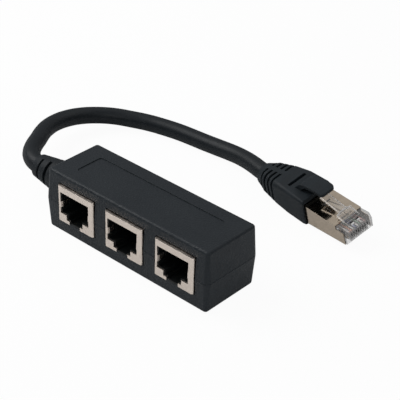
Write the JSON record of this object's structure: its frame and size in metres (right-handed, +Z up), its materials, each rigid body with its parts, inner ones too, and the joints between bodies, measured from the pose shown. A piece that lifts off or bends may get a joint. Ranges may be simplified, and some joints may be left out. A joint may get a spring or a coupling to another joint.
{
  "type": "network splitter adapter",
  "caption": "Shielded network splitter: a row of RJ45 jacks in a black two-part housing, with a strain-relieved round cable to a booted RJ45 plug.",
  "frame": {"origin": "centre of the housing's underside, at the housing's full length and depth", "axes": "+X along the housing away from the cable exit, -Y the side of the jacks, +Z up"},
  "size_m": [0.1234, 0.0768, 0.022],
  "materials": {
    "upper_shell": "fine spark-eroded texture, black",
    "lower_shell": "fine spark-eroded texture, black",
    "circuit_board": "green solder mask on glass epoxy",
    "relief": "satin black moulding",
    "jacket": "satin black extruded jacket",
    "jack_shield": "nickel-plated folded sheet",
    "jack_insert": "black moulding",
    "carrier": "black moulding",
    "contacts": "gold-plated spring wire and blades",
    "boot": "satin black moulding",
    "plug_shield": "nickel-plated folded sheet",
    "clear_body": "clear polycarbonate",
    "load_bar": "clear moulding",
    "wire_white_orange": "insulated conductor",
    "wire_orange": "insulated conductor",
    "wire_white_green": "insulated conductor",
    "wire_blue": "insulated conductor",
    "wire_white_blue": "insulated conductor",
    "wire_green": "insulated conductor",
    "wire_white_brown": "insulated conductor",
    "wire_brown": "insulated conductor"
  },
  "bodies": {
    "root": {"upper_shell": "upper_shell", "lower_shell": "lower_shell", "circuit_board": "circuit_board", "strain_relief": "relief", "cable": "jacket", "left_jack_shield": "jack_shield", "left_jack_body": "jack_insert", "left_contact_carrier": "carrier", "left_jack_contacts": "contacts", "middle_jack_shield": "jack_shield", "middle_jack_body": "jack_insert", "middle_contact_carrier": "carrier", "middle_jack_contacts": "contacts", "right_jack_shield": "jack_shield", "right_jack_body": "jack_insert", "right_contact_carrier": "carrier", "right_jack_contacts": "contacts", "board_wire_white_orange": "wire_white_orange", "board_wire_orange": "wire_orange", "board_wire_white_green": "wire_white_green", "board_wire_blue": "wire_blue", "board_wire_white_blue": "wire_white_blue", "board_wire_green": "wire_green", "board_wire_white_brown": "wire_white_brown", "board_wire_brown": "wire_brown", "plug_boot": "boot", "plug_shield": "plug_shield", "plug_body": "clear_body", "plug_load_bar": "load_bar", "plug_contact_1": "contacts", "plug_contact_2": "contacts", "plug_contact_3": "contacts", "plug_contact_4": "contacts", "plug_contact_5": "contacts", "plug_contact_6": "contacts", "plug_contact_7": "contacts", "plug_contact_8": "contacts", "plug_wire_white_orange": "wire_white_orange", "plug_wire_orange": "wire_orange", "plug_wire_white_green": "wire_white_green", "plug_wire_blue": "wire_blue", "plug_wire_white_blue": "wire_white_blue", "plug_wire_green": "wire_green", "plug_wire_white_brown": "wire_white_brown", "plug_wire_brown": "wire_brown"}
  },
  "joints": []
}
